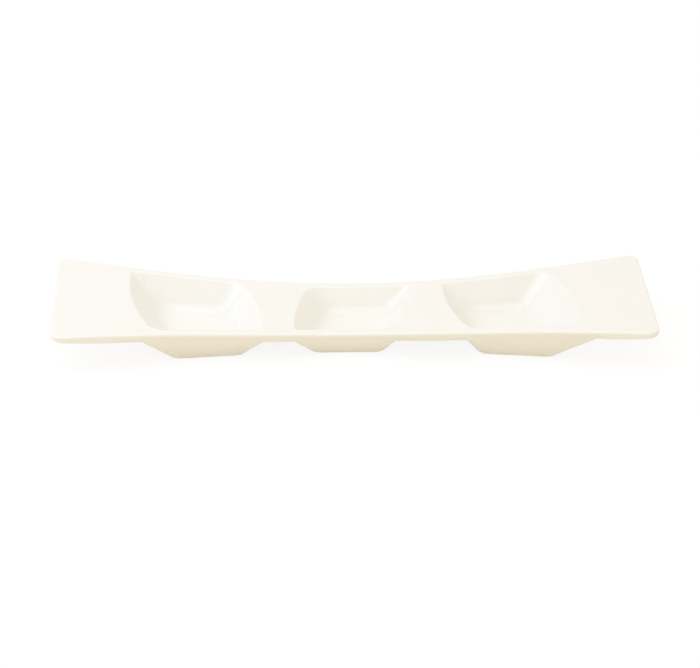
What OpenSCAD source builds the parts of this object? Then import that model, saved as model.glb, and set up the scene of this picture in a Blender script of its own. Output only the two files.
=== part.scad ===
// Relish tray, one piece of glazed porcelain: a long waisted strip that bends up towards both
// ends and dips into three leaf-shaped wells, each standing on its own foot.
// X runs along the tray, Y across it, and Z = 0 is the table below the middle of the tray.

/* [Tray] */
// Length from end to end
tray_length = 380; // [360:1:400]
// Width across each end
end_width = 105; // [100:0.5:114]
// Width across the waist, half way along
waist_width = 66; // [62:0.5:74]
// Radius of the four corners, seen from above
corner_radius = 7; // [4:0.5:9]
// Height of the upper face over the table at the waist
waist_height = 19.3; // [17.5:0.1:20.5]
// How much higher than the waist each end stands
end_rise = 10; // [7:0.5:14]
// Length of the straight stretch at each end, past the bend
end_straight = 104; // [90:1:115]
// Thickness at the waist
waist_thickness = 7; // [6:0.1:8]
// Thickness at each end
end_thickness = 4; // [4:0.1:5.2]
// Radius that rounds the upper edge all round the tray
upper_edge_radius = 1.5; // [1:0.1:2.5]
// Radius that rounds the lower edge where the strip is thin
lower_edge_radius = 1.2; // [0.8:0.1:1.5]

/* [Wells] */
// Distance from the middle of one well to the middle of the next
well_pitch = 101; // [98:0.5:106]
// Length of the opening of the middle well
middle_well_length = 77; // [70:0.5:82]
// Length of the opening of each outer well
outer_well_length = 84; // [78:0.5:86]
// Radius of the bowed end of an opening, seen from above
bow_radius = 125; // [110:1:150]
// Distance from the long axis of the tray to the fullest point of a bowed end
bow_offset = 25; // [20:0.5:28]
// Width of the rim between an opening and the long edge of the tray
rim_width = 6; // [5:0.1:7]
// Radius of the two tight corners of an opening
tight_corner_radius = 3.5; // [3:0.1:6]
// Radius of the two soft corners of an opening
soft_corner_radius = 12; // [9:0.5:14]
// Radius of all four corners of a floor
floor_corner_radius = 9.5; // [7:0.5:11]
// Radius that rounds the lip of an opening
lip_radius = 1.5; // [1:0.1:2]
// Slope of the end walls of a well, in degrees from level
end_wall_slope = 48; // [46:1:55]
// Slope of the end wall that lies nearest to an end of the tray, inside the well
outer_wall_slope = 47; // [43:1:54]
// Slope of that same wall on its outside
outer_flank_slope = 38; // [36:1:45]
// Radius between the walls and the floor
floor_fillet = 13; // [8:0.5:16]
// Height of the flat floors over the table
floor_height = 4.5; // [4:0.1:6]

/* [Feet] */
// Distance from the bowed end of an opening in to the foot under it
foot_inset = 10; // [9:0.5:12]
// The same distance on the side nearest to an end of the tray
outer_foot_inset = 14.5; // [13.5:0.5:17]
// Distance from the long edge of the tray in to the foot
foot_setback = 9; // [7.5:0.5:11.5]
// Radius of the four corners of a foot, seen from below
foot_corner_radius = 8; // [6:0.5:10]
// Radius between the underside of the strip and the outside of a well
skirt_fillet = 6; // [3:0.5:8]
// Radius between the outside of a well and its foot
foot_edge_radius = 3.5; // [1.5:0.1:4]
// Width of the bare rim that a well stands on
foot_rim_width = 3.2; // [2.5:0.1:4]
// Depth of the glazed recess inside that rim
foot_recess = 0.9; // [0.6:0.1:1.4]

/* [Hidden] */

// Steps round each corner of a well, along its long walls and along its end walls
corner_steps = 8;
long_steps = 8;
end_steps = 10;
// Steps round a lip, round a fillet and round an edge of the strip
lip_steps = 2;
fillet_steps = 4;
edge_steps = 3;
// Steps along the long edge and round the corner of an end plate
plate_long_steps = 4;
plate_corner_steps = 4;

half_length = tray_length / 2;
half_waist = waist_width / 2;
waist_sag = (end_width - waist_width) / 2;
// The long edges are hollow arcs, and this is their radius and how far off axis their centres lie
waist_radius = (pow(half_length, 2) + pow(waist_sag, 2)) / (2 * waist_sag);
waist_centre = half_waist + waist_radius;
// The bend follows z = bend * x * x up to where the straight stretch goes on at the same slope
bend_end = half_length - end_straight;
bend = end_rise / (pow(bend_end, 2) + 2 * bend_end * end_straight);
// Power of the distance from the waist by which the strip thins towards its ends
thinning_power = 5;
// Each well lies in a cell of the strip that reaches half a pitch to either side of it, and a
// little further towards the end of the tray
half_cell = well_pitch / 2;
end_cell_share = 1.2;
// Centre of the outer corners' arc
corner_x = half_length - corner_radius;

// A well is its centre, half the length of its opening, and its hand: the tight corners of a
// well of hand 1 are the back left and front right ones, and those of hand -1 are the others.
left_well = [-well_pitch, outer_well_length / 2, 1];
middle_well = [0, middle_well_length / 2, -1];
// Whether a side of a well lies nearest to an end of the tray, and what that changes
function is_outer(well, sx) = sx * well[0] > 0;
function seam_x(well, sx) = well[0] + sx * half_cell * (is_outer(well, sx) ? end_cell_share : 1);
function wall_slope(well, sx) = is_outer(well, sx) ? outer_wall_slope : end_wall_slope;
function flank_slope(well, sx) = is_outer(well, sx) ? outer_flank_slope : end_wall_slope;
function end_foot_inset(well, sx) = is_outer(well, sx) ? outer_foot_inset : foot_inset;

function mix(a, b, share) = a + (b - a) * share;
function ease(share) = share * share * (3 - 2 * share);
function turned(points) = [for (p = points) [-p.x, -p.y, p.z]];
function reversed(list) = [for (i = [len(list) - 1 : -1 : 0]) list[i]];
function shifted(list, by) = [for (i = [0 : len(list) - 1]) list[(i + by) % len(list)]];
function inner(list) = [for (i = [1 : len(list) - 2]) list[i]];
function first(list, count) = [for (i = [0 : count - 1]) list[i]];

// The strip: its upper face, its underside, and its long edge moved in by an inset
function top_z(x) =
    waist_height + bend * (abs(x) < bend_end ? x * x : bend_end * (2 * abs(x) - bend_end));
function thickness(x) =
    mix(waist_thickness, end_thickness, pow(abs(x) / half_length, thinning_power));
function under_z(x) = top_z(x) - thickness(x);
function long_edge(x, inset) = waist_centre - sqrt(pow(waist_radius + inset, 2) - x * x);

// Lean from upright of the long outer wall of a well: it leaves the rounded upper edge as a
// tangent and meets the table at the setback of the foot.
function lean(well) =
    let (run = foot_setback - upper_edge_radius, fall = top_z(well[0]) - upper_edge_radius)
    atan2(run, fall) + asin(upper_edge_radius / norm([run, fall]));

// Place across a sloping bank at a height over its low end, counted from where the slope and the
// low level would meet: an arc at the low end, a straight slope and an arc at the high end.
function bank(z, depth, slope, low_radius, high_radius) =
    let (low_top = low_radius * (1 - cos(slope)), high_bottom = depth - high_radius * (1 - cos(slope)))
    z < low_top ? low_radius * (tan(slope / 2) - sin(acos(1 - z / low_radius)))
    : z > high_bottom ?
        high_radius * (sin(acos(1 - (depth - z) / high_radius)) - tan(slope / 2)) - depth / tan(slope)
    : -z / tan(slope);

// Heights at which a bank is cut into contours, from its high end down to its low end
function bank_levels(depth, slope, low_radius, low_steps, high_radius, high_steps) = concat(
    [for (i = [0 : high_steps]) depth - high_radius * (1 - cos(slope * i / high_steps))],
    [for (i = [low_steps : -1 : 0]) low_radius * (1 - cos(slope * i / low_steps))]
);

// A contour is [[inset at the left end wall, inset at the right one], inset from the long edge,
// [soft radius, tight radius], base height, share of the way from the base up to the strip].
function is_tight(well, sx, sy) = sx * sy * well[2] < 0;
function end_inset(contour, sx) = contour[0][sx < 0 ? 0 : 1];

// Centre of the round corner of a contour, as seen in the quarter of the well where x and y grow
function corner_centre(well, contour, sx, sy, radius) =
    let (
        bow = [well[1] - bow_radius, is_tight(well, sx, sy) ? bow_offset : -bow_offset],
        waist = [-sx * well[0], waist_centre],
        gap = norm(waist - bow),
        along = (waist - bow) / gap,
        from_bow = bow_radius - end_inset(contour, sx) - radius,
        from_waist = waist_radius + contour[1] + radius,
        reach = (pow(from_bow, 2) - pow(from_waist, 2) + gap * gap) / (2 * gap)
    )
    bow + reach * along + sqrt(pow(from_bow, 2) - reach * reach) * [along.y, -along.x];

// One round corner of a contour, from the end wall to the long wall
function corner(well, contour, sx, sy) =
    let (
        radius = contour[2][is_tight(well, sx, sy) ? 1 : 0],
        centre = corner_centre(well, contour, sx, sy, radius),
        bow = [well[1] - bow_radius, is_tight(well, sx, sy) ? bow_offset : -bow_offset],
        waist = [-sx * well[0], waist_centre],
        start = atan2(centre.y - bow.y, centre.x - bow.x),
        stop = atan2(waist.y - centre.y, waist.x - centre.x)
    )
    [for (i = [0 : corner_steps])
        let (a = mix(start, stop, i / corner_steps))
        [well[0] + sx * (centre.x + radius * cos(a)), sy * (centre.y + radius * sin(a))]];

// The bowed end of a contour between two corner points, and its long side
function bowed_end(well, contour, sx, from, to) =
    let (bow_y = -sx * well[2] * bow_offset)
    [for (i = [0 : end_steps])
        let (y = mix(from.y, to.y, i / end_steps))
        let (reach = sqrt(pow(bow_radius - end_inset(contour, sx), 2) - pow(y - bow_y, 2)))
        [well[0] + sx * (well[1] - bow_radius + reach), y]];
function long_side(contour, sy, from, to) =
    [for (i = [0 : long_steps])
        let (x = mix(from.x, to.x, i / long_steps))
        [x, sy * long_edge(x, contour[1])]];

// A whole contour, anticlockwise from the middle of its front left corner
function contour_outline(well, contour) =
    let (
        front_left = corner(well, contour, -1, -1),
        front_right = reversed(corner(well, contour, 1, -1)),
        back_right = corner(well, contour, 1, 1),
        back_left = reversed(corner(well, contour, -1, 1)),
        last = corner_steps
    )
    shifted(concat(
        front_left, inner(long_side(contour, -1, front_left[last], front_right[0])),
        front_right, inner(bowed_end(well, contour, 1, front_right[last], back_right[0])),
        back_right, inner(long_side(contour, 1, back_right[last], back_left[0])),
        back_left, inner(bowed_end(well, contour, -1, back_left[last], front_left[0]))
    ), corner_steps / 2);

// Radii of the soft and the tight corners of an opening, of a floor and of a foot
opening_radii = [soft_corner_radius, tight_corner_radius];
floor_radii = floor_corner_radius * [1, 1];
foot_radii = foot_corner_radius * [1, 1];

// Contours of the inside of a well, from the lip to the edge of the floor
function inside_contours(well) =
    let (
        depth = top_z(well[0]) - floor_height,
        long_slope = 90 - lean(well)
    )
    [for (z = bank_levels(depth, end_wall_slope, floor_fillet, fillet_steps, lip_radius, lip_steps))
        let (share = z / depth)
        [
            [for (sx = [-1, 1])
                let (drop = top_z(well[0] + sx * well[1]) - floor_height, slope = wall_slope(well, sx))
                drop / tan(slope) + bank(drop * share, drop, slope, floor_fillet, lip_radius)],
            rim_width + depth / tan(long_slope) + bank(z, depth, long_slope, floor_fillet, lip_radius),
            mix(floor_radii, opening_radii, share), floor_height, share
        ]];

// Contours of the outside of a well, from the underside of the strip to the foot and its recess
function outside_contour(well, z, inset, base) =
    let (
        depth = under_z(well[0]),
        long_slope = 90 - lean(well),
        share = z / depth
    )
    [
        [for (sx = [-1, 1])
            let (drop = under_z(well[0] + sx * well[1]), slope = flank_slope(well, sx))
            end_foot_inset(well, sx) + inset
                + bank(drop * share, drop, slope, foot_edge_radius, skirt_fillet)],
        foot_setback + inset + bank(z, depth, long_slope, foot_edge_radius, 0),
        mix(foot_radii, opening_radii, share), base, share
    ];
function outside_contours(well) =
    let (levels = bank_levels(
        under_z(well[0]), end_wall_slope, foot_edge_radius, lip_steps, skirt_fillet, fillet_steps
    ))
    concat(
        [for (z = levels) outside_contour(well, z, 0, 0)],
        [
            outside_contour(well, 0, foot_rim_width, 0),
            outside_contour(well, 0, foot_rim_width + foot_recess, foot_recess)
        ]
    );

// Lean of the edge half way between two wells, where it keeps a share of the lean of their walls.
// Towards an end of the tray the edge stands upright.
web_lean_share = 0.5;
web_lean = web_lean_share * (lean(left_well) + lean(middle_well)) / 2;
function edge_lean(well, x) = is_outer(well, x < well[0] ? -1 : 1) ? 0 : web_lean;

// The rounded edge of the strip as [inset, drop] steps from the upper face to the underside. Along
// the thin strip it turns under with the lower radius, and beside a well it runs on as the wall,
// for most of the way down to the level of the underside.
edge_rings = edge_steps + 4;
wall_share = 0.9;
function edge_step(k, x, blend, well) =
    let (
        t = thickness(x),
        upper = upper_edge_radius,
        under = lower_edge_radius,
        tilt = lean(well),
        a = 90 * k / edge_steps,
        wall_top = upper * [1 - cos(tilt), 1 + sin(tilt)],
        wall_drop = (t - wall_top[1]) * wall_share,
        upright = [[0, t - under], [0, t] + under * [1 - cos(45), sin(45) - 1], [under, t]],
        thin = [for (p = upright) p + (p.y - upper) * tan(edge_lean(well, x)) * [1, 0]],
        wall = [
            upper * [1 - cos(tilt / 2), 1 + sin(tilt / 2)],
            wall_top,
            wall_top + wall_drop * [tan(tilt), 1]
        ]
    )
    k <= edge_steps ? upper * [1 - sin(a), 1 - cos(a)]
    : mix(thin[k - edge_steps - 1], wall[k - edge_steps - 1], blend);

// Places round the border of a cell as [x, share of the half width, blend towards the wall],
// in the order of a contour's points. Beside a well they stand over the top of its outer wall.
function long_border(well, side, left, right) =
    let (half = corner_steps / 2)
    concat(
        [for (i = [0 : half - 1]) [mix(seam_x(well, -1), left, i / half), side, ease(i / half)]],
        [for (i = [0 : long_steps]) [mix(left, right, i / long_steps), side, 1]],
        [for (i = [1 : half]) [mix(right, seam_x(well, 1), i / half), side, 1 - ease(i / half)]]
    );
seam_steps = corner_steps + end_steps;
function seam_share(i) = 2 * i / seam_steps - 1;
function cell_border(well) =
    let (
        skirt = outside_contours(well)[0],
        last = corner_steps,
        front = long_border(
            well, -1, corner(well, skirt, -1, -1)[last].x, corner(well, skirt, 1, -1)[last].x
        ),
        back = long_border(
            well, 1, corner(well, skirt, -1, 1)[last].x, corner(well, skirt, 1, 1)[last].x
        ),
        long_count = corner_steps + long_steps
    )
    concat(
        first(front, long_count),
        [for (i = [0 : seam_steps - 1]) [seam_x(well, 1), seam_share(i), 0]],
        first(reversed(back), long_count),
        [for (i = [seam_steps : -1 : 1]) [seam_x(well, -1), seam_share(i), 0]]
    );

// A cell of the strip with its well, as closed rings from the floor out over the rim, round the
// edge of the strip and in under it to the foot
function cell_rings(well) = concat(
    reversed([for (contour = inside_contours(well))
        [for (p = contour_outline(well, contour))
            [p.x, p.y, mix(contour[3], top_z(p.x), contour[4])]]]),
    [for (k = [0 : edge_rings - 1])
        [for (place = cell_border(well))
            let (x = place[0], step = edge_step(k, x, place[2], well))
            [x, place[1] * long_edge(x, step[0]), top_z(x) - step[1]]]],
    [for (contour = outside_contours(well))
        [for (p = contour_outline(well, contour))
            [p.x, p.y, mix(contour[3], under_z(p.x), contour[4])]]]
);
function floor_middle(well) = [well[0], 0, floor_height];
function foot_middle(well) = [well[0], 0, foot_recess];
function cell_points(well) =
    concat([for (ring = cell_rings(well)) each ring], [floor_middle(well), foot_middle(well)]);

// Faces between the rings, left open where a cell joins the next one, and the floor and foot
ring_points = 2 * (corner_steps + long_steps) + 2 * seam_steps;
inside_rings = lip_steps + fillet_steps + 2;
ring_count = 2 * inside_rings + edge_rings + 2;
function on_seam(j) =
    let (long_count = corner_steps + long_steps, turn = j % (ring_points / 2))
    turn >= long_count;
function in_edge(k) = k >= inside_rings && k < inside_rings + edge_rings - 1;
function two_faces(a, b, c, d) = [[a, b, c], [a, c, d]];
cell_faces = concat(
    [for (k = [0 : ring_count - 2], j = [0 : ring_points - 1])
        let (a = k * ring_points + j, b = k * ring_points + (j + 1) % ring_points)
        if (!(in_edge(k) && on_seam(j))) each two_faces(a, b, b + ring_points, a + ring_points)],
    [for (j = [0 : ring_points - 1])
        let (next = (j + 1) % ring_points, last = (ring_count - 1) * ring_points)
        each [
            [ring_count * ring_points, next, j],
            [ring_count * ring_points + 1, last + j, last + next]
        ]]
);

// The outline of the left end plate moved in by an inset, from the back end of its seam with the
// first cell round the end of the tray to the front end of that seam
plate_end_steps = seam_steps - 2 * (plate_long_steps + plate_corner_steps);
function plate_outline(inset) =
    let (
        seam = seam_x(left_well, -1),
        radius = corner_radius - inset,
        corner_y = long_edge(corner_x, corner_radius),
        start = atan2(waist_centre - corner_y, -corner_x),
        back = concat(
            [for (i = [0 : plate_long_steps])
                let (x = mix(seam, -corner_x - radius * cos(start), i / plate_long_steps))
                [x, long_edge(x, inset)]],
            [for (i = [1 : plate_corner_steps])
                let (a = mix(start, 0, i / plate_corner_steps))
                [-corner_x - radius * cos(a), corner_y + radius * sin(a)]]
        )
    )
    concat(
        back,
        [for (i = [1 : plate_end_steps - 1])
            [inset - half_length, mix(corner_y, -corner_y, i / plate_end_steps)]],
        [for (p = reversed(back)) [p.x, -p.y]]
    );
function plate_ring(k) =
    [for (p = plate_outline(edge_step(k, seam_x(left_well, -1), 0, left_well)[0]))
        [p.x, p.y, top_z(p.x) - edge_step(k, p.x, 0, left_well)[1]]];
// The seam itself on the upper face or the underside, from back to front
function plate_seam(k) =
    let (x = seam_x(left_well, -1), step = edge_step(k, x, 0, left_well))
    [for (i = [seam_steps : -1 : 0]) [x, seam_share(i) * long_edge(x, step[0]), top_z(x) - step[1]]];
plate_points = concat(
    plate_seam(0),
    [for (k = [0 : edge_rings - 1]) each plate_ring(k)],
    plate_seam(edge_rings - 1)
);
// The first and last strips start and end at a point, so they have a single face there
plate_faces = [for (k = [0 : edge_rings], i = [0 : seam_steps - 1])
    let (
        a = k * (seam_steps + 1) + i,
        below = a + seam_steps + 1,
        pair = two_faces(a, a + 1, below + 1, below),
        capped = k == 0 || k == edge_rings
    )
    each (capped && i == 0 ? [pair[0]] : capped && i == seam_steps - 1 ? [pair[1]] : pair)];

// The whole tray, whose right half is the left half turned half a turn about the upright axis
left_points = cell_points(left_well);
patches = [
    [plate_points, plate_faces],
    [left_points, cell_faces],
    [cell_points(middle_well), cell_faces],
    [turned(left_points), cell_faces],
    [turned(plate_points), plate_faces]
];
function points_before(count) = count == 0 ? 0 : points_before(count - 1) + len(patches[count - 1][0]);
tray_points = [for (patch = patches) each patch[0]];
tray_faces = [for (i = [0 : len(patches) - 1])
    let (before = points_before(i))
    for (face = patches[i][1]) [for (corner = face) corner + before]];

module tray() {
    color("ivory")
        polyhedron(points = tray_points, faces = tray_faces, convexity = 8);
}

tray();
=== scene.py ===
import math

import bmesh
import bpy
from mathutils import Matrix, Vector


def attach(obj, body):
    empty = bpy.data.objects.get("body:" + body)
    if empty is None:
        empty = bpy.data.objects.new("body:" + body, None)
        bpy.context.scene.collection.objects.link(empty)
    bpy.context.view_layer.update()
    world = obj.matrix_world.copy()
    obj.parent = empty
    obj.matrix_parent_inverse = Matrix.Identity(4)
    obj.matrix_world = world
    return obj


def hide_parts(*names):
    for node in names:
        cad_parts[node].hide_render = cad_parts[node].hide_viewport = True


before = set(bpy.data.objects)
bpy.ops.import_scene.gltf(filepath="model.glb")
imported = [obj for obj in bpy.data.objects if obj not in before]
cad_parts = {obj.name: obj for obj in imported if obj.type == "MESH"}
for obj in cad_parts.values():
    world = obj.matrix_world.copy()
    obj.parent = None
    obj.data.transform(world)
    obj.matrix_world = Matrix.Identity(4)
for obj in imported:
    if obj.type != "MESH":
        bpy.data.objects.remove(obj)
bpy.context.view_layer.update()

mm = 0.001

# The camera.
# It stands 1.56 m off, a little to the left of the middle of the tray and 30 degrees up, and the
# tray lies slightly turned and high in its frame.
frame_px = (700, 668)
focal_px = 2436
sensor_width = 36.0
camera_distance = 1560 * mm
camera_height_angle = math.radians(30)
camera_side_angle = math.radians(3.57)
camera_roll = math.radians(1.38)
nearest_view = 10 * mm
aimed_point = Vector((0, 0, 18.7 * mm))
aimed_point_px = (353.05, 308.66)

across = Vector((math.cos(camera_side_angle), -math.sin(camera_side_angle), 0))
level_ahead = Vector((math.sin(camera_side_angle), math.cos(camera_side_angle), 0))
ahead = level_ahead * math.cos(camera_height_angle) - Vector((0, 0, math.sin(camera_height_angle)))
upward = across.cross(ahead)
camera_place = aimed_point - ahead * camera_distance
rolled_across = across * math.cos(camera_roll) + upward * math.sin(camera_roll)
rolled_upward = upward * math.cos(camera_roll) - across * math.sin(camera_roll)
right_px = aimed_point_px[0] - frame_px[0] / 2
up_px = frame_px[1] / 2 - aimed_point_px[1]
lens_axis = (ahead - (rolled_across * right_px + rolled_upward * up_px) / focal_px).normalized()
lens_across = lens_axis.cross(rolled_upward).normalized()
lens_upward = lens_across.cross(lens_axis)

camera_data = bpy.data.cameras.new("photo_camera")
camera_data.sensor_width = sensor_width
camera_data.lens = focal_px / frame_px[0] * sensor_width
camera_data.clip_start = nearest_view
camera = bpy.data.objects.new("photo_camera", camera_data)
bpy.context.scene.collection.objects.link(camera)
camera_turn = Matrix((lens_across, lens_upward, -lens_axis)).transposed()
camera.matrix_world = Matrix.Translation(camera_place) @ camera_turn.to_4x4()
bpy.context.scene.camera = camera

# The strip.
# One long slab of porcelain, waisted in plan and thinner towards its ends. It bends up from the
# middle and runs straight over the last stretch at each end, as the mould gives it.
tray_length = 380 * mm
end_width = 105 * mm
waist_width = 66 * mm
end_corner_radius = 7 * mm
waist_height = 19.3 * mm
end_rise = 10 * mm
end_straight = 104 * mm
waist_thickness = 7 * mm
end_thickness = 4 * mm
thinning_power = 5
upper_edge_radius = 1.5 * mm
lower_edge_radius = 1.2 * mm

half_length = tray_length / 2
waist_sag = (end_width - waist_width) / 2
waist_radius = (half_length ** 2 + waist_sag ** 2) / (2 * waist_sag)
waist_centre = waist_width / 2 + waist_radius
bend_end = half_length - end_straight
bend = end_rise / (bend_end ** 2 + 2 * bend_end * end_straight)


def mix(a, b, share):
    return a + (b - a) * share


def strip_top(x):
    if abs(x) < bend_end:
        return waist_height + bend * x * x
    return waist_height + bend * bend_end * (2 * abs(x) - bend_end)


def strip_thickness(x):
    return mix(waist_thickness, end_thickness, (abs(x) / half_length) ** thinning_power)


def strip_underside(x):
    return strip_top(x) - strip_thickness(x)


def long_edge(x, inset):
    return waist_centre - math.sqrt((waist_radius + inset) ** 2 - x * x)


# The wells.
# Three bowls pressed into the strip, each over its own foot. They have bowed ends, two tight and
# two soft corners, banked walls and a flat floor, and the middle one has the other hand.
well_pitch = 101 * mm
middle_well_length = 77 * mm
outer_well_length = 84 * mm
bow_radius = 125 * mm
bow_offset = 25 * mm
rim_width = 6 * mm
tight_corner_radius = 3.5 * mm
soft_corner_radius = 12 * mm
floor_corner_radius = 9.5 * mm
lip_radius = 1.5 * mm
end_wall_slope = math.radians(48)
outer_wall_slope = math.radians(47)
outer_flank_slope = math.radians(38)
floor_fillet = 13 * mm
floor_height = 4.5 * mm
foot_inset = 10 * mm
outer_foot_inset = 14.5 * mm
foot_setback = 9 * mm
foot_corner_radius = 8 * mm
skirt_fillet = 6 * mm
foot_edge_radius = 3.5 * mm
foot_rim_width = 3.2 * mm
foot_recess = 0.9 * mm
glaze_line_width = 0.6 * mm
foot_rim_insets = (glaze_line_width, foot_rim_width - glaze_line_width, foot_rim_width)
end_cell_share = 1.2

corner_steps = 20
long_steps = 24
end_steps = 28
lip_steps = 6
fillet_steps = 12
seam_steps = corner_steps + end_steps
long_count = corner_steps + long_steps

left_well = {"x": -well_pitch, "half": outer_well_length / 2, "hand": 1}
middle_well = {"x": 0, "half": middle_well_length / 2, "hand": -1}


def is_outer(well, side):
    """Whether this end of a well faces an end of the tray."""
    return side * well["x"] > 0


def seam_x(well, side):
    """Where the cell of a well ends along the tray."""
    reach = well_pitch / 2 * (end_cell_share if is_outer(well, side) else 1)
    return well["x"] + side * reach


def wall_lean(well):
    """How far the long walls lean in from upright, so that they reach the foot's outline."""
    run = foot_setback - upper_edge_radius
    fall = strip_top(well["x"]) - upper_edge_radius
    return math.atan2(run, fall) + math.asin(upper_edge_radius / math.hypot(run, fall))


def bank(z, depth, slope, low_radius, high_radius):
    """Inset of a wall at height z from the foot of its slope, with its fillet and its lip."""
    low_top = low_radius * (1 - math.cos(slope))
    high_bottom = depth - high_radius * (1 - math.cos(slope))
    if z < low_top:
        return low_radius * (math.tan(slope / 2) - math.sin(math.acos(1 - z / low_radius)))
    if z > high_bottom and high_radius > 0:
        turn = math.acos(min(1, 1 - (depth - z) / high_radius))
        return high_radius * (math.sin(turn) - math.tan(slope / 2)) - depth / math.tan(slope)
    return -z / math.tan(slope)


def bank_levels(depth, slope, low_radius, low_steps, high_radius, high_steps):
    """Heights of the rings down a wall, round its lip and then round its fillet."""
    high_turns = [slope * i / high_steps for i in range(high_steps + 1)]
    low_turns = [slope * i / low_steps for i in range(low_steps, -1, -1)]
    high = [depth - high_radius * (1 - math.cos(turn)) for turn in high_turns]
    low = [low_radius * (1 - math.cos(turn)) for turn in low_turns]
    return high + low


def is_tight(well, side, back):
    return side * back * well["hand"] < 0


def round_corner(well, contour, side, back):
    """The arc of one corner, from the bowed end of the well to its long side."""
    tight = is_tight(well, side, back)
    radius = contour["radii"][1 if tight else 0]
    bow = Vector((well["half"] - bow_radius, bow_offset if tight else -bow_offset))
    waist = Vector((-side * well["x"], waist_centre))
    gap = (waist - bow).length
    along = (waist - bow) / gap
    from_bow = bow_radius - contour["end_insets"][side] - radius
    from_waist = waist_radius + contour["long_inset"] + radius
    reach = (from_bow ** 2 - from_waist ** 2 + gap * gap) / (2 * gap)
    off = math.sqrt(from_bow ** 2 - reach * reach)
    centre = bow + along * reach + Vector((along.y, -along.x)) * off
    start = math.atan2(centre.y - bow.y, centre.x - bow.x)
    stop = math.atan2(waist.y - centre.y, waist.x - centre.x)
    turns = [mix(start, stop, i / corner_steps) for i in range(corner_steps + 1)]
    arc = [(centre.x + radius * math.cos(a), centre.y + radius * math.sin(a)) for a in turns]
    return [(well["x"] + side * x, back * y) for x, y in arc]


def bowed_end(well, contour, side, start, stop):
    bow_y = -side * well["hand"] * bow_offset
    radius = bow_radius - contour["end_insets"][side]
    points = []
    for i in range(1, end_steps):
        y = mix(start[1], stop[1], i / end_steps)
        reach = math.sqrt(radius ** 2 - (y - bow_y) ** 2)
        points.append((well["x"] + side * (well["half"] - bow_radius + reach), y))
    return points


def long_side(contour, back, start, stop):
    xs = [mix(start[0], stop[0], i / long_steps) for i in range(1, long_steps)]
    return [(x, back * long_edge(x, contour["long_inset"])) for x in xs]


def contour_outline(well, contour):
    """One closed contour, anticlockwise from the middle of the well's front left corner."""
    front_left = round_corner(well, contour, -1, -1)
    front_right = round_corner(well, contour, 1, -1)[::-1]
    back_right = round_corner(well, contour, 1, 1)
    back_left = round_corner(well, contour, -1, 1)[::-1]
    outline = (
        front_left + long_side(contour, -1, front_left[-1], front_right[0])
        + front_right + bowed_end(well, contour, 1, front_right[-1], back_right[0])
        + back_right + long_side(contour, 1, back_right[-1], back_left[0])
        + back_left + bowed_end(well, contour, -1, back_left[-1], front_left[0])
    )
    half = corner_steps // 2
    return outline[half:] + outline[:half]


def inside_contours(well):
    """The contours of the bowl, from its lip down to its floor."""
    depth = strip_top(well["x"]) - floor_height
    long_slope = math.pi / 2 - wall_lean(well)
    slope_foot = rim_width + depth / math.tan(long_slope)
    contours = []
    for z in bank_levels(depth, end_wall_slope, floor_fillet, fillet_steps, lip_radius, lip_steps):
        share = z / depth
        end_insets = {}
        for side in (-1, 1):
            drop = strip_top(well["x"] + side * well["half"]) - floor_height
            slope = outer_wall_slope if is_outer(well, side) else end_wall_slope
            end_insets[side] = (drop / math.tan(slope)
                                + bank(drop * share, drop, slope, floor_fillet, lip_radius))
        contours.append({
            "end_insets": end_insets,
            "long_inset": slope_foot + bank(z, depth, long_slope, floor_fillet, lip_radius),
            "radii": (mix(floor_corner_radius, soft_corner_radius, share),
                      mix(floor_corner_radius, tight_corner_radius, share)),
            "base": floor_height, "share": share,
        })
    return contours


def outside_contour(well, z, inset, base):
    """One contour of the well's outside at height z, or further in on its foot."""
    depth = strip_underside(well["x"])
    long_slope = math.pi / 2 - wall_lean(well)
    share = z / depth
    end_insets = {}
    for side in (-1, 1):
        drop = strip_underside(well["x"] + side * well["half"])
        slope = outer_flank_slope if is_outer(well, side) else end_wall_slope
        slope_foot = outer_foot_inset if is_outer(well, side) else foot_inset
        end_insets[side] = (slope_foot + inset
                            + bank(drop * share, drop, slope, foot_edge_radius, skirt_fillet))
    return {
        "end_insets": end_insets,
        "long_inset": foot_setback + inset + bank(z, depth, long_slope, foot_edge_radius, 0),
        "radii": (mix(foot_corner_radius, soft_corner_radius, share),
                  mix(foot_corner_radius, tight_corner_radius, share)),
        "base": base, "share": share,
    }


def outside_contours(well):
    """The contours from the strip's underside down to the foot and over its rim."""
    levels = bank_levels(strip_underside(well["x"]), end_wall_slope, foot_edge_radius, lip_steps,
                         skirt_fillet, fillet_steps)
    skirt = [outside_contour(well, z, 0, 0) for z in levels]
    foot_rim = [outside_contour(well, 0, inset, 0) for inset in foot_rim_insets]
    recess = outside_contour(well, 0, foot_rim_width + foot_recess, foot_recess)
    return skirt + foot_rim + [recess]


# The skin.
# Every face of the cast piece, as closed rings that run from the floor of a well out over its lip
# and the flat rim, round the edge of the strip and in under it to the bare rim of the foot.
upper_arc_steps = 8
lower_edge_steps = 12
edge_steps = upper_arc_steps + lower_edge_steps
plate_long_steps = 8
plate_corner_steps = 8
wall_share = 0.9
web_lean_share = 0.5
rim_shares = (0.06, 0.2, 0.4, 0.6, 0.8, 0.94)
underside_shares = (0.25, 0.5, 0.75)
flat_inset = upper_edge_radius * 1.5
merge_gap = 0.002 * mm
left_seam = seam_x(left_well, -1)
porcelain_faces, bare_faces = 0, 1


def edge_lean(well, x):
    """Lean of the edge between two wells. Towards an end of the tray the edge stands upright."""
    if is_outer(well, -1 if x < well["x"] else 1):
        return 0
    return web_lean_share * (wall_lean(left_well) + wall_lean(middle_well)) / 2


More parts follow.
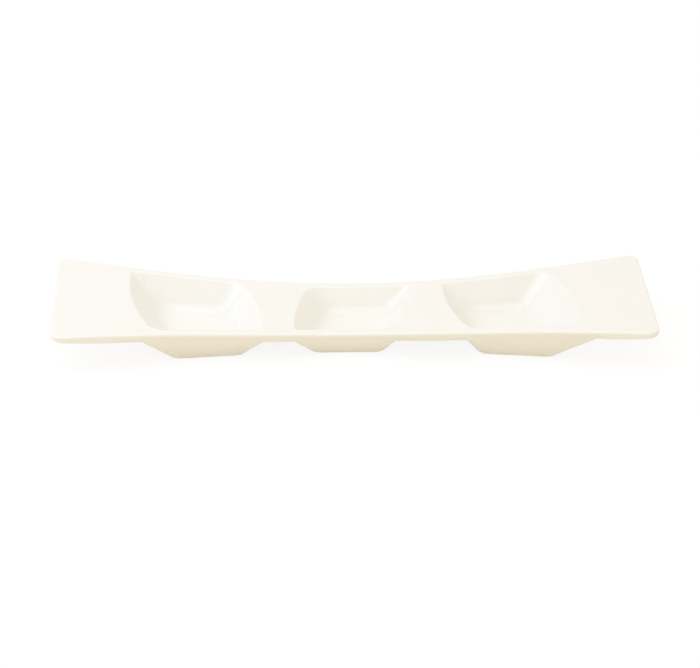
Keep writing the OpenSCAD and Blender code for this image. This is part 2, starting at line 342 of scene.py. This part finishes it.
def edge_profile(k, x, blend, well):
    """Inset and drop of the k-th ring round the edge, from a thin edge to the wall of a well.

    Under the upper arc the thin edge falls for one third of the rings and turns in for the rest.
    The wall's edge turns for two thirds of them, and then runs on down the wall.
    """
    thickness = strip_thickness(x)
    if k <= upper_arc_steps:
        a = math.pi / 2 * k / upper_arc_steps
        return upper_edge_radius * (1 - math.sin(a)), upper_edge_radius * (1 - math.cos(a))
    thirds = 3 * (k - upper_arc_steps) / lower_edge_steps
    if thirds < 1:
        inset = 0
        drop = mix(upper_edge_radius, thickness - lower_edge_radius, thirds)
    else:
        a = math.pi / 2 * (thirds - 1) / 2
        inset = lower_edge_radius * (1 - math.cos(a))
        drop = thickness + lower_edge_radius * (math.sin(a) - 1)
    inset += (drop - upper_edge_radius) * math.tan(edge_lean(well, x))
    tilt = wall_lean(well)
    a = tilt * min(1, thirds / 2)
    wall_inset = upper_edge_radius * (1 - math.cos(a))
    wall_drop = upper_edge_radius * (1 + math.sin(a))
    if thirds > 2:
        fall = (thickness - wall_drop) * wall_share * (thirds - 2)
        wall_inset += fall * math.tan(tilt)
        wall_drop += fall
    return mix(inset, wall_inset, blend), mix(drop, wall_drop, blend)


def smooth(share):
    return share * share * (3 - 2 * share)


def long_border(well, back, left, right):
    """Places on a long edge of a well's cell, each with its share of the wall's edge."""
    half = corner_steps // 2
    before = [(mix(seam_x(well, -1), left, i / half), back, smooth(i / half)) for i in range(half)]
    beside = [(mix(left, right, i / long_steps), back, 1) for i in range(long_steps + 1)]
    after = [(mix(right, seam_x(well, 1), i / half), back, 1 - smooth(i / half))
             for i in range(1, half + 1)]
    return before + beside + after


def cell_border(well):
    """Places round a well's cell, in step with its contours."""
    skirt = outside_contours(well)[0]
    front = long_border(well, -1, *(round_corner(well, skirt, side, -1)[-1][0] for side in (-1, 1)))
    back = long_border(well, 1, *(round_corner(well, skirt, side, 1)[-1][0] for side in (-1, 1)))
    shares = [2 * i / seam_steps - 1 for i in range(seam_steps + 1)]
    return (
        front[:-1] + [(seam_x(well, 1), s, 0) for s in shares[:-1]]
        + back[::-1][:-1] + [(seam_x(well, -1), s, 0) for s in shares[:0:-1]]
    )


def edge_point(k, x, side, blend, well):
    inset, drop = edge_profile(k, x, blend, well)
    return (x, side * long_edge(x, inset), strip_top(x) - drop)


def contour_ring(well, contour, surface):
    """A contour at its height, which is a share of the way from its base up to the surface."""
    return [(x, y, mix(contour["base"], surface(x), contour["share"]))
            for x, y in contour_outline(well, contour)]


def cell_rings(well):
    """The rings of a well's cell, and the first and last of them that lie round the edge."""
    rings = [contour_ring(well, contour, strip_top) for contour in inside_contours(well)[::-1]]
    border = cell_border(well)
    edge = [[edge_point(k, x, side, blend, well) for x, side, blend in border]
            for k in range(edge_steps + 1)]
    lip_ring = rings[-1]
    for s in rim_shares:
        rim = [(mix(a[0], b[0], s), mix(a[1], b[1], s)) for a, b in zip(lip_ring, edge[0])]
        rings.append([(x, y, strip_top(x)) for x, y in rim])
    edge_start = len(rings)
    rings += edge
    edge_stop = len(rings) - 1
    outside = [contour_ring(well, contour, strip_underside) for contour in outside_contours(well)]
    for s in underside_shares:
        rings.append([tuple(mix(p, q, s) for p, q in zip(a, b))
                      for a, b in zip(rings[edge_stop], outside[0])])
    return rings + outside, edge_start, edge_stop


def plate_outline(inset):
    """The outline of the left end plate, from the back of its seam round the end to the front."""
    corner_x = half_length - end_corner_radius
    radius = end_corner_radius - inset
    corner_y = long_edge(corner_x, end_corner_radius)
    start = math.atan2(waist_centre - corner_y, -corner_x)
    edge_stop = -corner_x - radius * math.cos(start)
    xs = [mix(left_seam, edge_stop, i / plate_long_steps) for i in range(plate_long_steps + 1)]
    back = [(x, long_edge(x, inset)) for x in xs]
    for i in range(1, plate_corner_steps + 1):
        a = mix(start, 0, i / plate_corner_steps)
        back.append((-corner_x - radius * math.cos(a), corner_y + radius * math.sin(a)))
    end_count = seam_steps - 2 * (plate_long_steps + plate_corner_steps)
    end_ys = [mix(corner_y, -corner_y, i / end_count) for i in range(1, end_count)]
    end = [(inset - half_length, y) for y in end_ys]
    return back + end + [(x, -y) for x, y in back[::-1]]


def seam_line(inset, surface):
    """The line across the strip at the left seam, from back to front."""
    half_width = long_edge(left_seam, inset)
    shares = [2 * i / seam_steps - 1 for i in range(seam_steps, -1, -1)]
    return [(left_seam, s * half_width, surface(left_seam)) for s in shares]


skin = bmesh.new()


def add_face(points, material):
    """Adds a face to the skin, without the corners that fall on each other."""
    corners = []
    for p in points:
        if p not in corners:
            corners.append(p)
    if len(corners) > 2:
        face = skin.faces.new([skin.verts.new(p) for p in corners])
        face.material_index = material
        face.smooth = True


def half_turned(point):
    return (-point[0], -point[1], point[2])


def add_patch(faces, material, also_turned):
    """Adds faces of the left half or the middle, and their twins in the right half."""
    for face in faces:
        add_face(face, material)
        if also_turned:
            add_face([half_turned(p) for p in face], material)


for well, also_turned in ((left_well, True), (middle_well, False)):
    rings, edge_start, edge_stop = cell_rings(well)
    count = len(rings[0])
    rim_start = len(rings) - len(foot_rim_insets) - 2
    rim_stop = rim_start + len(foot_rim_insets)
    for k in range(len(rings) - 1):
        quads = []
        for j in range(count):
            on_seam = j % (count // 2) >= long_count
            if edge_start <= k < edge_stop and on_seam:
                continue
            n = (j + 1) % count
            quads.append([rings[k][j], rings[k][n], rings[k + 1][n], rings[k + 1][j]])
        on_foot_rim = rim_start <= k < rim_stop
        add_patch(quads, bare_faces if on_foot_rim else porcelain_faces, also_turned)
    for ring, height in ((rings[0], floor_height), (rings[-1], foot_recess)):
        middle = (well["x"], 0, height)
        fan = [[ring[j], ring[(j + 1) % count], middle] for j in range(count)]
        add_patch(fan, porcelain_faces, also_turned)

plate_rings = [
    seam_line(upper_edge_radius, strip_top),
    [(x, y, strip_top(x)) for x, y in plate_outline(flat_inset)],
]
for k in range(edge_steps + 1):
    outline = plate_outline(edge_profile(k, left_seam, 0, left_well)[0])
    plate_rings.append([(x, y, strip_top(x) - edge_profile(k, x, 0, left_well)[1])
                        for x, y in outline])
plate_rings.append(seam_line(lower_edge_radius, strip_underside))
for near, far in zip(plate_rings, plate_rings[1:]):
    quads = [[near[j], near[j + 1], far[j + 1], far[j]] for j in range(seam_steps)]
    add_patch(quads, porcelain_faces, True)

bmesh.ops.remove_doubles(skin, verts=skin.verts, dist=merge_gap)
bmesh.ops.recalc_face_normals(skin, faces=skin.faces)
skin.normal_update()

# The run of the glaze.
# Melting glaze draws thin over a tight edge, which the mesh keeps as 1, and pools in a hollow, as
# -1. Another value marks the rims of the feet, which are wiped bare.
thin_edge_curve = 1 / (3 * mm)
pooled_hollow_curve = 1 / (24 * mm)
settling_passes = 6


def curve_at(vert):
    """Mean curvature of the skin at a point, more than zero on an edge and less in a hollow."""
    spans = [vert.co - edge.other_vert(vert).co for edge in vert.link_edges]
    return 2 * sum(vert.normal.dot(span) / span.length_squared for span in spans) / len(spans)


def glaze_run_at(vert):
    curve = curve_at(vert)
    if curve > 0:
        return min(1, curve / thin_edge_curve)
    return max(-1, curve / pooled_hollow_curve)


def mean_beside(vert, values):
    beside = [values[edge.other_vert(vert).index] for edge in vert.link_edges]
    return sum(beside) / len(beside)


runs = [glaze_run_at(vert) for vert in skin.verts]
skin.verts.index_update()
for _ in range(settling_passes):
    runs = [(runs[vert.index] + mean_beside(vert, runs)) / 2 for vert in skin.verts]
run_layer = skin.verts.layers.float.new("glaze_run")
bare_layer = skin.verts.layers.float.new("bareness")
for vert in skin.verts:
    vert[run_layer] = runs[vert.index]
    vert[bare_layer] = float(all(face.material_index == bare_faces for face in vert.link_faces))
tray_mesh = bpy.data.meshes.new("tray_body")
skin.to_mesh(tray_mesh)
skin.free()
tray_body = bpy.data.objects.new("tray_body", tray_mesh)
bpy.context.scene.collection.objects.link(tray_body)
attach(tray_body, "root")
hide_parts("tray")

# The glaze.
# A thin coat of clear ivory glass fired onto the porcelain. It draws thin over every lip and
# edge, stands a little deeper in the hollows, and never lies perfectly flat.
ivory = (0.967, 0.948, 0.905, 1)
thin_ivory = (0.975, 0.962, 0.932, 1)
pooled_ivory = (0.955, 0.928, 0.868, 1)
pinhole_tan = (0.80, 0.71, 0.58, 1)
thin_strength = 0.35
pooled_strength = 0.55
wave_tones = (-0.15, 0.25)
pinhole_strength = 0.5
glaze_roughness = (0.10, 0.17)
fired_ior = 1.5
wave_detail = 2
grain_detail = 3


def add_math(tree, operation, *values):
    """Adds a Math node, whose inputs are plain numbers or other nodes' outputs."""
    node = tree.nodes.new("ShaderNodeMath")
    node.operation = operation
    for socket, value in zip(node.inputs, values):
        if isinstance(value, bpy.types.NodeSocket):
            tree.links.new(value, socket)
        else:
            socket.default_value = value
    return node.outputs["Value"]


def mixed_colour(tree, factor, first, second):
    node = tree.nodes.new("ShaderNodeMix")
    node.data_type = "RGBA"
    tree.links.new(factor, node.inputs["Factor"])
    for socket, value in ((node.inputs["A"], first), (node.inputs["B"], second)):
        if isinstance(value, bpy.types.NodeSocket):
            tree.links.new(value, socket)
        else:
            socket.default_value = value
    return node.outputs["Result"]


def spread(tree, value, low, high):
    """Stretches a mask that runs from 0 to 1, so that it runs from low to high."""
    node = tree.nodes.new("ShaderNodeMapRange")
    tree.links.new(value, node.inputs["Value"])
    node.inputs["To Min"].default_value = low
    node.inputs["To Max"].default_value = high
    return node.outputs["Result"]


# What glaze and bare clay share: slow waves, a fine grain and small pits, all sized in metres. They
# come out as masks and as one height.
fired_surface = bpy.data.node_groups.new("fired_surface", "ShaderNodeTree")
sockets = fired_surface.interface
sockets.new_socket(name="Place", in_out="INPUT", socket_type="NodeSocketVector")
for name in ("Wave Size", "Wave Height", "Grain Size", "Grain Height",
             "Pit Spacing", "Pit Size", "Pit Depth"):
    sockets.new_socket(name=name, in_out="INPUT", socket_type="NodeSocketFloat")
for name in ("Waves", "Grain", "Pits", "Height"):
    sockets.new_socket(name=name, in_out="OUTPUT", socket_type="NodeSocketFloat")
tree = fired_surface
given = tree.nodes.new("NodeGroupInput").outputs
result = tree.nodes.new("NodeGroupOutput").inputs
relief = []
for mask, size, height, detail in (
    ("Waves", "Wave Size", "Wave Height", wave_detail),
    ("Grain", "Grain Size", "Grain Height", grain_detail),
):
    noise = tree.nodes.new("ShaderNodeTexNoise")
    noise.inputs["Detail"].default_value = detail
    tree.links.new(given["Place"], noise.inputs["Vector"])
    tree.links.new(add_math(tree, "DIVIDE", 1.0, given[size]), noise.inputs["Scale"])
    tree.links.new(noise.outputs["Fac"], result[mask])
    relief.append(add_math(tree, "MULTIPLY", noise.outputs["Fac"], given[height]))
cells = tree.nodes.new("ShaderNodeTexVoronoi")
tree.links.new(given["Place"], cells.inputs["Vector"])
tree.links.new(add_math(tree, "DIVIDE", 1.0, given["Pit Spacing"]), cells.inputs["Scale"])
away = add_math(tree, "MULTIPLY", cells.outputs["Distance"], given["Pit Spacing"])
pit_radius = add_math(tree, "DIVIDE", given["Pit Size"], 2.0)
pits = add_math(tree, "SUBTRACT", 1.0, add_math(tree, "DIVIDE", away, pit_radius))
pits = add_math(tree, "MAXIMUM", pits, 0.0)
tree.links.new(pits, result["Pits"])
ground = add_math(tree, "ADD", relief[0], relief[1])
sunk = add_math(tree, "MULTIPLY", pits, given["Pit Depth"])
tree.links.new(add_math(tree, "SUBTRACT", ground, sunk), result["Height"])


def surface_group(tree, **sizes):
    """Places the shared surface effect in a material, with that material's own sizes."""
    place = tree.nodes.new("ShaderNodeTexCoord")
    group = tree.nodes.new("ShaderNodeGroup")
    group.node_tree = fired_surface
    tree.links.new(place.outputs["Object"], group.inputs["Place"])
    for name, size in sizes.items():
        group.inputs[name.replace("_", " ").title()].default_value = size
    return group.outputs


def bumped(tree, height):
    """The normal of a surface with this height, in metres."""
    bump = tree.nodes.new("ShaderNodeBump")
    bump.inputs["Distance"].default_value = 1
    tree.links.new(height, bump.inputs["Height"])
    return bump.outputs["Normal"]


def mesh_value(tree, name):
    """A value that the mesh keeps at each of its points."""
    stored = tree.nodes.new("ShaderNodeAttribute")
    stored.attribute_name = name
    return stored.outputs["Fac"]


glaze = bpy.data.materials.new("ivory_glaze")
glaze.use_nodes = True
tree = glaze.node_tree
shader = tree.nodes["Principled BSDF"]
shader.inputs["IOR"].default_value = fired_ior
fired = surface_group(tree, wave_size=11 * mm, wave_height=0.025 * mm,
                      grain_size=1.6 * mm, grain_height=0.0012 * mm,
                      pit_spacing=5 * mm, pit_size=0.32 * mm, pit_depth=0.03 * mm)
run = mesh_value(tree, "glaze_run")
on_edges = add_math(tree, "MAXIMUM", run, 0.0)
in_hollows = add_math(tree, "MAXIMUM", add_math(tree, "MULTIPLY", run, -1.0), 0.0)
thin = add_math(tree, "MULTIPLY", on_edges, thin_strength)
pooled = add_math(tree, "MULTIPLY", in_hollows, pooled_strength)
pooled = add_math(tree, "ADD", pooled, spread(tree, fired["Waves"], *wave_tones))
pinholes = add_math(tree, "MULTIPLY", fired["Pits"], pinhole_strength)
colour = mixed_colour(tree, pooled, ivory, pooled_ivory)
colour = mixed_colour(tree, thin, colour, thin_ivory)
colour = mixed_colour(tree, pinholes, colour, pinhole_tan)
tree.links.new(colour, shader.inputs["Base Color"])
tree.links.new(spread(tree, fired["Grain"], *glaze_roughness), shader.inputs["Roughness"])
tree.links.new(bumped(tree, fired["Height"]), shader.inputs["Normal"])
tray_mesh.materials.append(glaze)

# The bare rims of the feet.
# The glaze is wiped off where the tray stands in the kiln. That leaves dry, fine-grained
# porcelain, greyed a little by the table, behind a ragged toasted line where the glaze ends.
bone = (0.90, 0.87, 0.81, 1)
table_grey = (0.76, 0.72, 0.66, 1)
toasted = (0.80, 0.68, 0.52, 1)
ragged_line = (-0.75, 0.05)
line_width = 0.3
toast_strength = 3.0
grey_grain = (-0.2, 0.8)
bare_roughness = (0.55, 0.8)
glazed_roughness = 0.13
glaze_depth = 0.15 * mm

clay = bpy.data.materials.new("bare_porcelain")
clay.use_nodes = True
tree = clay.node_tree
shader = tree.nodes["Principled BSDF"]
shader.inputs["IOR"].default_value = fired_ior
fired = surface_group(tree, wave_size=2.2 * mm, wave_height=0.02 * mm,
                      grain_size=0.22 * mm, grain_height=0.02 * mm,
                      pit_spacing=1.6 * mm, pit_size=0.25 * mm, pit_depth=0.05 * mm)
ragged = spread(tree, fired["Waves"], *ragged_line)
wiped = tree.nodes.new("ShaderNodeMapRange")
wiped.interpolation_type = "SMOOTHSTEP"
wiped.inputs["From Max"].default_value = line_width
tree.links.new(add_math(tree, "ADD", mesh_value(tree, "bareness"), ragged), wiped.inputs["Value"])
bare = wiped.outputs["Result"]
glazed = add_math(tree, "SUBTRACT", 1.0, bare)
toast = add_math(tree, "MULTIPLY", add_math(tree, "MULTIPLY", bare, glazed), toast_strength)
colour = mixed_colour(tree, spread(tree, fired["Grain"], *grey_grain), bone, table_grey)
colour = mixed_colour(tree, bare, ivory, colour)
colour = mixed_colour(tree, toast, colour, toasted)
tree.links.new(colour, shader.inputs["Base Color"])
roughness = add_math(tree, "MULTIPLY", bare, spread(tree, fired["Grain"], *bare_roughness))
roughness = add_math(tree, "MAXIMUM", roughness, glazed_roughness)
tree.links.new(roughness, shader.inputs["Roughness"])
step = add_math(tree, "MULTIPLY", glazed, glaze_depth)
ground = add_math(tree, "MULTIPLY", bare, fired["Height"])
tree.links.new(bumped(tree, add_math(tree, "ADD", step, ground)), shader.inputs["Normal"])
tray_mesh.materials.append(clay)

# The table top.
# A plain pale surface under the tray. Lit surfaces above it pick up its warm tone, and the camera
# sees it as the white of the backdrop, with a faint soft shadow where the tray stands.
table_size = 4.0
table_gap = 0.02 * mm
table_warmth = (0.91, 0.85, 0.69, 1)
shadow_depth = 0.16
open_table_light = 0.85
white = (1, 1, 1, 1)


def seen_by_eye(tree):
    """One where a ray comes from the camera, a reflection or through glass, and zero elsewhere."""
    rays = tree.nodes.new("ShaderNodeLightPath").outputs
    mirrored = add_math(tree, "MAXIMUM", rays["Is Glossy Ray"], rays["Is Transmission Ray"])
    return add_math(tree, "MAXIMUM", rays["Is Camera Ray"], mirrored)


def chosen_shader(tree, factor, first, second):
    both = tree.nodes.new("ShaderNodeMixShader")
    tree.links.new(factor, both.inputs["Fac"])
    tree.links.new(first, both.inputs[1])
    tree.links.new(second, both.inputs[2])
    return both.outputs["Shader"]


bpy.ops.mesh.primitive_plane_add(size=table_size, location=(0, 0, -table_gap))
table_top = bpy.context.object
table_top.name = "table_top"
table = bpy.data.materials.new("pale_table")
table.use_nodes = True
tree = table.node_tree
tree.nodes.clear()
out = tree.nodes.new("ShaderNodeOutputMaterial")
warm = tree.nodes.new("ShaderNodeBsdfDiffuse")
warm.inputs["Color"].default_value = table_warmth
# To the eye the table glows just short of white. The light on an open stretch of it makes up the
# rest, and the tray's shadow is where that light is missing.
shaded = tree.nodes.new("ShaderNodeBsdfDiffuse")
shaded.inputs["Color"].default_value = (shadow_depth, shadow_depth, shadow_depth, 1)
glow = tree.nodes.new("ShaderNodeEmission")
glow.inputs["Color"].default_value = white
glow.inputs["Strength"].default_value = 1 - shadow_depth * open_table_light
shown = tree.nodes.new("ShaderNodeAddShader")
tree.links.new(shaded.outputs["BSDF"], shown.inputs[0])
tree.links.new(glow.outputs["Emission"], shown.inputs[1])
choice = chosen_shader(tree, seen_by_eye(tree), warm.outputs["BSDF"], shown.outputs["Shader"])
tree.links.new(choice, out.inputs["Surface"])
table_top.data.materials.append(table)

# The room.
# Soft, slightly warm light from all round, a little brighter from the front. The camera sees
# plain white.
room_light = (0.733, 0.674, 0.571, 1)
front_light = (0.865, 0.801, 0.696, 1)
front = (0, -1, 0)

world = bpy.data.worlds.new("studio")
bpy.context.scene.world = world
world.use_nodes = True
tree = world.node_tree
tree.nodes.clear()
out = tree.nodes.new("ShaderNodeOutputWorld")
way = tree.nodes.new("ShaderNodeTexCoord")
facing = tree.nodes.new("ShaderNodeVectorMath")
facing.operation = "DOT_PRODUCT"
tree.links.new(way.outputs["Generated"], facing.inputs[0])
facing.inputs[1].default_value = front
room = tree.nodes.new("ShaderNodeBackground")
tone = mixed_colour(tree, facing.outputs["Value"], room_light, front_light)
tree.links.new(tone, room.inputs["Color"])
backdrop = tree.nodes.new("ShaderNodeBackground")
backdrop.inputs["Color"].default_value = white
choice = chosen_shader(tree, seen_by_eye(tree),
                       room.outputs["Background"], backdrop.outputs["Background"])
tree.links.new(choice, out.inputs["Surface"])

# The studio lamps.
# A large soft one hangs over the tray, and a smaller, cooler one stands low on the left.
for name, place, size, energy, tone in (
    ("overhead_lamp", (-0.25, -0.1, 1.6), 1.6, 6.9, (0.90, 1, 1.08)),
    ("left_lamp", (-0.95, -0.05, 0.9), 0.85, 2.2, (0.65, 1, 1.70)),
):
    lamp_data = bpy.data.lights.new(name, "AREA")
    lamp_data.shape = "SQUARE"
    lamp_data.size = size
    lamp_data.energy = energy
    lamp_data.color = tone
    lamp = bpy.data.objects.new(name, lamp_data)
    bpy.context.scene.collection.objects.link(lamp)
    lamp.location = place
    lamp.rotation_euler = (-lamp.location).to_track_quat("-Z", "Y").to_euler()

scene = bpy.context.scene
scene.view_settings.view_transform = "Standard"
